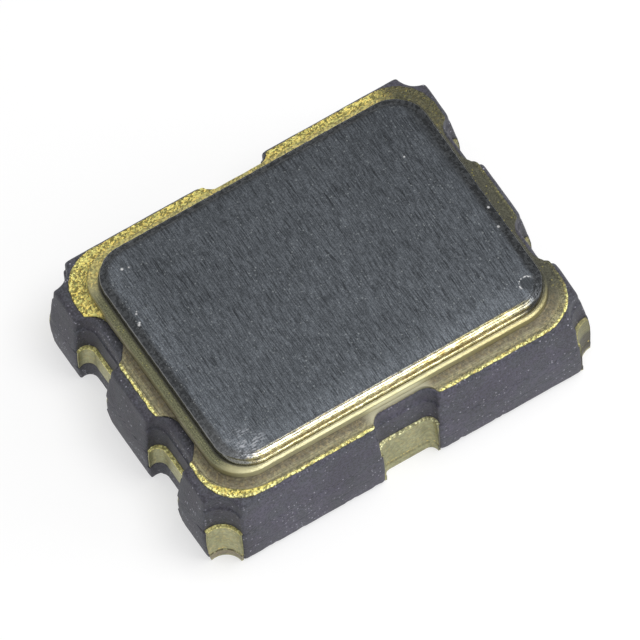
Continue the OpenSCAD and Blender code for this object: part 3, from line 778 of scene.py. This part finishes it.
def lid_shaded_right_side(s, color, value):
    """Dark band of painted shade along the right side, wider towards the far end."""
    right = s.minus(float(LID_MID[0] + LID_HALF[0]), s.x)
    reach = s.wavy(s.ramp(s.y, -0.9, 1.0, 0.04, 0.115), 0.03, (12, 16, 5), 3, 0.6, 18)
    # Painted shade along the right side, wider towards the far end
    right_shade = s.times(s.ramp(s.minus(reach, right), -0.03, 0.04), s.ramp(s.y, -0.97, -0.8))
    tone = s.shade(rgb(0.062, 0.066, 0.07), s.ramp(value, *CELL_RANGE, 0.6, 1.5))
    return s.paint(color, tone, right_shade, 0.6)


def lid_marks(s, color, inside, cells):
    """Scuffed patch, weld spot with its bright rim, and small bright marks."""
    hatch = s.noise((24, 90, 10), 2.0, 0.5, turn=math.radians(38))
    scuff = s.times(s.spot(*SCUFF, 0.12, 0.08), s.ramp(hatch, 0.44, 0.62), s.ramp(s.noise(14, 3, 0.6, 21), 0.36, 0.56))
    color = s.paint(color, rgb(0.6, 0.62, 0.66), scuff, 0.85)
    away = s.away(*WELD_SPOT)
    color = s.paint(color, rgb(0.055, 0.06, 0.065), s.within(away, 0.052, 0.01), 0.6)
    upper = s.ramp(s.plus(s.y, s.times(s.x, -0.35)), -1.36, -1.3)
    rim = s.times(s.band(away, 0.06, 0.01, 0.008), upper, s.ramp(s.noise(60, 1, 0.5, 24), 0.46, 0.56))
    color = s.mix(rim, color, rgb(0.9, 0.9, 0.9))
    for x, y, radius, strength in BRIGHT_MARKS:
        color = s.paint(color, rgb(0.95, 0.95, 0.95), s.spot(x, y, radius, radius * 0.5), strength)
    row = s.band(s.wavy(inside, 0.05, 9, 2, 0.5, 27), 0.1, 0.06, 0.04)
    dots = s.times(row, s.flecks(cells, 0.16, (0.2, 0.4)), s.ramp(s.x, -0.9, -1.2))
    return s.paint(color, rgb(0.6, 0.62, 0.62), dots, 0.6)


def lid_wall(s, color, inside, near_highlight, speckle):
    """Wall of the lid: dark with scale, painted lighter on the near side and darker on the right as painted light and
    shade, with a painted highlight along its top edge; the near side's skirt is painted as a gold-tinted highlight.
    """
    foot = float(LID_Z[0])
    off_highlight = s.rest(near_highlight)
    # Painted highlight along the rounded top edge, except on the near side and the right end
    crest_highlight = s.times(s.band(inside, 0.005, 0.008, 0.006), off_highlight, s.ramp(s.x, 1.2, 0.9))
    color = s.paint(color, rgb(0.26, 0.26, 0.26), crest_highlight, 0.7)
    # Scale, painted lighter on the near side and much darker on the right: painted light and shade
    scale = s.mix(s.ramp(s.y, -0.8, -0.98), rgb(0.15, 0.15, 0.145), rgb(0.3, 0.3, 0.27))
    scale = s.mix(s.ramp(s.x, 0.9, 1.2), scale, rgb(0.045, 0.045, 0.045))
    scale = s.shade(scale, s.ramp(speckle, *MOST, 0.7, 1.3))
    color = s.paint(color, scale, s.ramp(s.z, foot + 0.052, foot + 0.06, 1.0, 0.0), off_highlight)
    # Gold tint low on the near side's skirt: painted highlight
    return s.paint(color, rgb(0.46, 0.39, 0.18), s.ramp(s.z, foot + 0.022, foot + 0.012), near_highlight, 0.8)


def lid_material():
    s = Shader("brushed_lid")
    grain = s.noise((150, 12, 40), 3, 0.6)
    long_grain = s.noise((95, 4.5, 20), 2, 0.5, 4)
    speckle = s.noise(95, 3, 0.7, 7)
    cells = s.cells(60, 5)
    inside = s.edge(LID_MID, LID_HALF, LID_R)
    near = s.minus(s.y, float(LID_MID[1] - LID_HALF[1]))
    # Near side of the track, where a highlight is painted
    near_highlight = s.times(s.ramp(near, 0.072, 0.06), s.ramp(s.wavy(s.x, 0.2, 12, 2), -1.18, -0.98),
                  s.ramp(s.wavy(s.x, 0.2, 20, 2), 1.38, 1.1))
    color, track = lid_track(s, lid_face(s, grain, long_grain, speckle), inside, cells[1])
    color = lid_highlit_side(s, color, near, near_highlight)
    color = lid_shaded_right_side(s, color, cells[1])
    color = lid_marks(s, color, inside, cells)
    color = lid_wall(s, color, inside, near_highlight, speckle)
    height = s.plus(s.times(grain, 0.7), s.times(long_grain, 0.5))
    roughness = s.mix(track, s.ramp(long_grain, *WIDE, 0.3, 0.38), s.ramp(speckle, *WIDE, 0.2, 0.34))
    return s.finish(color=color, metal=1.0, rough=roughness, normal=s.bump(height, 0.001))


def plain_material(name, a, b, metal=0.0, rough=0.4, transmission=0.0):
    s = Shader(name)
    n = s.noise(30, 4, 0.6)
    return s.coat(s.mix(s.ramp(n, *MOST), a, b), metal, n, (rough * 0.85, rough * 1.15), n, 0.002,
                  transmission=transmission)


# Ceramic body
def wall_half(z):
    return np.array([np.interp(z, WALL[:, 0], WALL[:, column]) for column in (1, 2)])


def make_ceramic():
    s = Skin()
    low = LOW.grown(PLATING_T)
    foot = Holes(low.shift, low.corner, LOW.side, low.wide)
    loops = []

    def level(z, holes, d=0.0):
        """One outline of the wall, drawn in all round by d."""
        loops.append(s.loop(soften(outline(wall_half(z) - d, holes.grown(d)), 2), z))

    for d, dz in FOOT_ROWS:
        level(UNDERSIDE + dz, foot, d)
    for z in np.linspace(UNDERSIDE + 0.016, SIDE_FOOT - 0.003, 10):
        level(z, foot)
    level(SIDE_FOOT, foot, 0.002)
    for z in np.linspace(SIDE_FOOT, LEDGE_Z, 12):
        level(z, low)
    for z in np.linspace(LEDGE_Z, RIM_Z - 0.006, 14):
        level(z, MIDDLE)
    # The top layer's wider holes, whose upper edge rounds over
    for dz, g in RIM_ROWS:
        level(RIM_Z + dz, TOP.grown(g))
    for a in np.linspace(0.08, 1.0, 9) * math.pi / 2:
        level(SEAL_FACE - LIP_H * (1 - math.sin(a)), TOP, LIP_W * (1 - math.cos(a)))
    level(SEAL_FACE, TOP, LIP_W + 0.006)
    s.stack(loops)
    s.cap(loops[0], up=False)
    # Cavity: its wall, the shelf and the pit
    rim, shelf = (s.loop(rounded(*CAVITY) + PRINT_MID, z) for z in (SEAL_FACE, SHELF_Z))
    edge, floor = (s.loop(rounded(*PIT, (8, 8, 8)) + PRINT_MID + [PIT_X, 0], z) for z in (SHELF_Z, PIT_FLOOR))
    s.cap(loops[-1], holes=[rim])
    s.join(rim, shelf)
    s.cap(shelf, holes=[edge])
    s.join(edge, floor)
    s.cap(floor)

    def moves(p):
        """Unevenness of the snapped walls, with small chips along the foot."""
        free = ((np.abs(p[:, 0]) > 1.35) | (np.abs(p[:, 1]) > 1.03)) & (p[:, 2] < SEAL_FACE - 0.002)
        amount = uneven(p, -0.0008, (0.0014, 0.16, 3.1), (0.0009, 0.05, 8.4))
        low_down = np.clip(1 - (p[:, 2] - UNDERSIDE) / 0.04, 0, 1)
        amount -= 0.018 * low_down * np.maximum(rough(p * [1, 1, 0.5], 0.05, 5.5) - 0.45, 0)
        p[free, :2] += (outward(p[:, :2]) * amount[:, None])[free]
        return np.clip(p, np.array(cad_low) / MM, np.array(cad_high) / MM)

    s.piece("ceramic_body", [ceramic_material()], "dark_ceramic", "ceramic_base", moves)


# Plated notches and pads
def add_strip(s, curve, foot):
    """Plating of one notch, with or without a foot. curve(half, holes) gives its line."""
    plan = [(z, LOW.grown(-FOOT_T * part), z) for z, part in STEP_ROWS] if foot else []
    plan += [(z, LOW, z) for z in np.linspace(STEP_TOP if foot else SIDE_FOOT, PLATED_TOP - 0.009, 12)]
    plan += [(PLATED_TOP, LOW.grown(d), PLATED_TOP + dz) for d, dz in PLATED_ROWS]
    plan += [(PLATED_TOP, MIDDLE.grown(d), z) for d, z in LEDGE_ROWS]
    bottom = (0.1, 0.0) if foot else (SIDE_FOOT,)
    plan += [(z, LOW.grown(PLATING_T), z) for z in (LEDGE_Z, 0.3, 0.2, *bottom)]
    rows = [(s.loop(curve(wall_half(wall_z) - CUT_EDGE, holes), z), z) for wall_z, holes, z in plan]
    for (a, low), (b, high) in zip(rows, rows[1:] + rows[:1]):
        for i in range(len(a) - 1):
            if (low + high) / 2 > PLATED_TOP - 0.005:
                s.second.append(len(s.faces))
            s.faces.append((a[i], a[i + 1], b[i + 1], b[i]))
    s.faces.append(tuple(row[0] for row, _ in reversed(rows)))
    s.faces.append(tuple(row[-1] for row, _ in rows))


def add_pad(s, *shapes):
    """Solder pad with a rolled lower edge, round points and lines of points."""
    loop = joined([np.atleast_2d(shape) for shape in shapes], [PAD_RUN_N] * len(shapes))
    area = np.sum(loop[:, 0] * np.roll(loop[:, 1], -1) - loop[:, 1] * np.roll(loop[:, 0], -1))
    loop = soften(loop if area > 0 else loop[::-1], 3)
    side = [s.loop(inset(loop, d), z) for d, z in PAD_ROWS]
    s.stack(side)
    s.cap(side[-1])
    s.cap(side[0], up=False)


def corner_pad(s, k):
    """Pad of corner k, cut back round the corner hole and the side notch."""
    sign = np.array([(-1, -1), (1, -1), (1, 1), (-1, 1)][k])
    inner = PAD_OUT - CORNER_PAD
    cut = INDEX_CUT if k == 0 else 0.0
    away = PAD_OUT - ROW
    hole = np.array([math.atan2(away[1], -math.sqrt(LOW.corner ** 2 - away[1] ** 2)),
                     math.atan2(-math.sqrt(LOW.corner ** 2 - away[0] ** 2), away[0])])
    hole[0] -= 2 * math.pi * (hole[0] > 0)
    a = np.linspace(*hole, 24)[:, None]
    corner = ROW + LOW.corner * np.concatenate([np.cos(a), np.sin(a)], 1)
    width, _, r = LOW.grown(PAD_NOTCH_GAP).side
    end = np.array([ROW[0] + LOW.side[2] - LOW.side[1], SIDE_PITCH / 2 + width / 2 - r])
    b = np.linspace(math.acos((PAD_OUT[0] - end[0]) / r), math.pi, 12)[:, None]
    bay = end + r * np.concatenate([np.cos(b), np.sin(b)], 1)
    shapes = [corner, bay, (bay[-1][0], inner[1]), (inner[0] + cut, inner[1]),
              (inner[0], inner[1] + max(cut, 0.001)), (inner[0], PAD_OUT[1])]
    add_pad(s, *(np.array(shape) * sign + PRINT_MID for shape in shapes))


def middle_pad(s, k):
    """Pad in the middle of a long side, cut back round the wide notch."""
    along, out = SIDES[k]
    outer, inner = PRINT_MID + out * PAD_OUT[1], PRINT_MID + out * (PAD_OUT[1] - MIDDLE_PAD[1])
    reach = along * MIDDLE_PAD[0] / 2
    add_pad(s, wide_notch(k, PAD_OUT, LOW), outer + reach, inner + reach, inner - reach, outer - reach)


def make_terminals():
    """Plated notches, with the pads of those that have one."""
    metals = [notch_gold(), ledge_gold()]

    def terminal(name, curve, pad=None, k=0):
        s = Skin()
        add_strip(s, curve, pad is not None)
        if pad is not None:
            pad(s, k)
        s.piece(name + "_metal", metals, "gold_plating", name)

    for k in range(4):
        terminal(f"corner_terminal_{k + 1}", lambda half, holes: corner_hole(k, half, holes), corner_pad, k)
    for number, k in ((1, 0), (2, 2)):
        terminal(f"middle_terminal_{number}", lambda half, holes: wide_notch(k, half, holes), middle_pad, k)
    for number, k, at in ((1, 3, 1), (2, 1, -1), (3, 1, 1), (4, 3, -1)):
        terminal(f"side_contact_{number}", lambda half, holes: side_notch(k, at, half, holes))


# Seal and lid
def inner_edge():
    """Opening of the printed frame and of the braze under the ring."""
    half, radius = RING_INNER
    return outline(half, CLEAR, radius) + PRINT_MID


def near_share(plan):
    """1 along the near side, and 0 elsewhere, with a smooth change at its ends."""
    share = np.clip((-0.84 - plan[:, 1]) / 0.14, 0, 1) * np.clip((1.36 - plan[:, 0]) / 0.24, 0, 1)
    return share * share * (3 - 2 * share)


def edge_row(s, half, radius, middle, plain, near):
    """Row of a rim's profile: an inset and a height, with other ones along the near side."""
    a, b = (rounded(half - d, radius - d) + middle for d, _ in (plain, near))
    share = near_share(a)
    return s.loop(a + (b - a) * share[:, None], plain[1] + (near[1] - plain[1]) * share)


def make_print():
    """Printed frame with a slightly ragged outer edge."""
    s = Skin()
    edge = soften(outline(PRINT_HALF, CLEAR, PRINT_R), 2)
    edge = inset(edge, -0.0035 * flat_rough(edge, 0.05, 5.0) - 0.002 * flat_rough(edge, 0.02, 1.0))
    inner = inner_edge()
    loops = [s.loop(inner, SEAL_FACE)]
    for d, part in PRINT_ROWS:
        loops.append(s.loop(inset(edge, d) + PRINT_MID, SEAL_FACE + (PRINT_TOP - SEAL_FACE) * part))
    last = inset(edge, PRINT_ROWS[-1][0]) + PRINT_MID
    for f in (0.08, 0.2, 0.35, 0.6, 1.0):
        loops.append(s.loop(last * (1 - f) + inner * f, PRINT_TOP))
    s.stack(loops + loops[:1])
    s.piece("seal_frame_print", [print_gold()], "gold_plating", "seal_metallization")


def make_braze():
    """A thin film under the ring and a concave fillet against its wall."""
    s = Skin()
    outer = soften(outline(BRAZE_HALF, CLEAR, RING_R + FILLET_W), 2)
    foot = outline(RING_HALF, CLEAR, RING_R)
    reach = FILLET_W * (1.0 + 0.1 * flat_rough(outer, 0.12, 2.0))
    loops = [s.loop(outer + PRINT_MID, PRINT_TOP)]
    for f in (0.0, 0.06, 0.15, 0.27, 0.4, 0.54, 0.68, 0.8, 0.9, 0.97, 1.0):
        line = outer * (1 - f) + foot * f
        away = np.clip(edge_distance(line, RING_HALF, RING_R) / reach, 0, 1)
        rise = FILLET_TOE + (FILLET_H - FILLET_TOE) * (1 - away) ** 2.2
        loops.append(s.loop(line + PRINT_MID, PRINT_TOP + rise))
    loops.append(s.loop(foot + PRINT_MID, PRINT_TOP + BRAZE_T))
    loops += [s.loop(inner_edge(), z) for z in (PRINT_TOP + BRAZE_T, PRINT_TOP)]
    s.stack(loops + loops[:1])
    s.piece("braze_fillet", [braze_material()], "braze", "braze_joint")


def make_ring():
    """Ring with a rolled upper edge, worn to a slope along the near side."""
    s = Skin()
    z0, z1 = RING_Z
    loops = [edge_row(s, RING_HALF, RING_R, PRINT_MID, (a, z1 - b), (c, z1 - d))
             for (a, b), (c, d) in zip(RING_PLAIN, RING_WORN)]
    loops += [s.loop(rounded(*RING_INNER) + PRINT_MID, z) for z in (z1, z0)]
    s.stack(loops + loops[:1])

    def moves(p):
        q = p[:, :2] - PRINT_MID
        on = edge_distance(q, RING_HALF, RING_R) > -0.05
        inward = uneven(p, 0.0012, (0.0012, 0.12, 4.0), (0.0006, 0.03, 9.0))
        p[on, :2] -= (outward(q) * inward[:, None])[on]
        return p

    s.piece("ring_band", [ring_gold()], "dull_gold", "seal_ring", moves)


def make_lid():
    """Plate with a melted edge and the track that the welding rollers pressed."""
    s = Skin()
    z0, z1 = LID_Z
    loops = [edge_row(s, LID_HALF, LID_R, LID_MID, (a, z0 + b), (c, z0 + d))
             for (a, b), (c, d) in zip(LID_PLAIN, LID_SKIRT)]
    loops += [s.loop(rounded(LID_HALF - d, LID_R - d) + LID_MID, z1) for d in (0.08, 0.12, 0.2)]
    s.stack(loops)
    s.cap(loops[0], up=False)
    s.cap(loops[-1])

    def moves(p):
        """Overlapping nuggets along the rolled weld, and an uneven melted wall."""
        q = p[:, :2] - LID_MID
        d = -edge_distance(q, LID_HALF, LID_R)
        track = np.clip((0.062 - d) / 0.02, 0, 1) * np.clip((p[:, 2] - z0 - 0.05) / 0.01, 0, 1)
        nuggets = rough(p * [1, 1, 0.3], 0.045, 6.0) * 0.6 + rough(p, 0.017, 2.5) * 0.4
        p[:, 2] += (0.0013 * nuggets - 0.0009) * track
        wall = (d < 0.03) & (p[:, 2] > z0 + 0.005)
        inward = uneven(p, 0.0015, (0.002, 0.05, 1.5), (0.001, 0.02, 7.5))
        p[wall, :2] -= (outward(q) * inward[:, None])[wall]
        return p

    s.piece("lid_plate", [lid_material()], "lid_metal", "lid", moves)


def dress_inside():
    """Gives the pieces in the cavity, which keep their own meshes, a material each."""
    land = plain_material("land_gold", rgb(0.7, 0.52, 0.16), rgb(0.85, 0.66, 0.25), 1.0, 0.35)
    film = plain_material("film_gold", rgb(0.72, 0.54, 0.18), rgb(0.85, 0.68, 0.28), 1.0, 0.22)
    finishes = {
        "chip_lands": land,
        "chip_bumps": plain_material("bump_gold", rgb(0.75, 0.55, 0.16), rgb(0.9, 0.7, 0.28), 1.0, 0.3),
        "circuit_chip": plain_material("silicon", rgb(0.05, 0.055, 0.07), rgb(0.09, 0.1, 0.12), 0.3, 0.25),
        "crystal_lands": land,
        "crystal_adhesive": plain_material("adhesive", rgb(0.42, 0.42, 0.43), rgb(0.6, 0.6, 0.6), 0.6, 0.5),
        "quartz_blank": plain_material("quartz", rgb(0.82, 0.86, 0.88), rgb(0.9, 0.93, 0.94), 0.0, 0.2, 0.7),
        "lower_electrode": film,
        "upper_electrode": film,
    }
    for name, material in finishes.items():
        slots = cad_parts[name].data.materials
        slots.clear()
        slots.append(material)


# Scene
# Camera at the photograph's angle: azimuth, elevation and roll in degrees, and the pixel of the origin
AZIMUTH, ELEVATION, ROLL = (math.radians(v) for v in (-25.11, 59.53, 7.19))
PX_PER_MM, ORIGIN_PX, IMAGE_PX = 137.25, (322.26, 343.67), 640
SENSOR_MM, FAR = 36.0, 190.0
FLOOR_HALF = 0.6
FLOOR_GLOW, SKY = 0.575, 0.55


def make_camera():
    level_right = Vector((math.cos(AZIMUTH), math.sin(AZIMUTH), 0.0))
    back = Vector((math.sin(AZIMUTH) * math.cos(ELEVATION), -math.cos(AZIMUTH) * math.cos(ELEVATION),
                   math.sin(ELEVATION)))
    level_up = back.cross(level_right)
    right = level_right * math.cos(ROLL) - level_up * math.sin(ROLL)
    up = level_right * math.sin(ROLL) + level_up * math.cos(ROLL)
    aim = (right * (IMAGE_PX / 2 - ORIGIN_PX[0]) - up * (IMAGE_PX / 2 - ORIGIN_PX[1])) / PX_PER_MM
    lens = bpy.data.cameras.new("camera")
    lens.sensor_width = SENSOR_MM
    lens.lens = SENSOR_MM * FAR * PX_PER_MM / IMAGE_PX
    lens.clip_start, lens.clip_end = 0.001, 5.0
    camera = linked("camera", lens)
    turn = Matrix((right, up, back)).transposed().to_4x4()
    camera.matrix_world = Matrix.Translation((aim + back * FAR) * MM) @ turn
    bpy.context.scene.camera = camera


def make_floor():
    corners = [(x * FLOOR_HALF, y * FLOOR_HALF, 0) for x, y in ((-1, -1), (1, -1), (1, 1), (-1, 1))]
    mesh = bpy.data.meshes.new("floor")
    mesh.from_pydata(corners, [], [(0, 1, 2, 3)])
    floor = linked("floor", mesh)
    paper = Shader("floor")
    tone = paper.mix(paper.noise(0.05), rgb(0.44, 0.44, 0.44), rgb(0.46, 0.46, 0.46))
    paper.bsdf.inputs["Emission Color"].default_value = rgb(1.0, 1.0, 1.0)
    paper.bsdf.inputs["Emission Strength"].default_value = FLOOR_GLOW
    mesh.materials.append(paper.finish(color=tone, rough=0.9, specular=0.1))


def softbox(name, direction, distance, size, power):
    """Rectangular light that faces the part."""
    data = bpy.data.lights.new(name, "AREA")
    data.shape = "RECTANGLE"
    data.size, data.size_y = size[0] * MM, size[1] * MM
    data.energy = power
    light = linked(name, data)
    toward = Vector(direction).normalized()
    light.location = toward * distance * MM
    light.rotation_mode = "QUATERNION"
    light.rotation_quaternion = toward.to_track_quat("Z", "Y")


def make_light():
    world = bpy.data.worlds.new("studio")
    bpy.context.scene.world = world
    world.use_nodes = True
    sky = world.node_tree.nodes["Background"]
    sky.inputs["Color"].default_value = rgb(1.0, 1.0, 1.0)
    sky.inputs["Strength"].default_value = SKY
    softbox("key", direction=(0.215, -0.18, 0.96), distance=14, size=(7.6, 6.2), power=0.001)
    softbox("front", direction=(0.8, -0.58, 0.26), distance=60, size=(36, 30), power=0.009)


make_ceramic()
make_terminals()
make_print()
make_braze()
make_ring()
make_lid()
dress_inside()
make_camera()
make_floor()
make_light()
bpy.context.scene.view_settings.view_transform = "Standard"
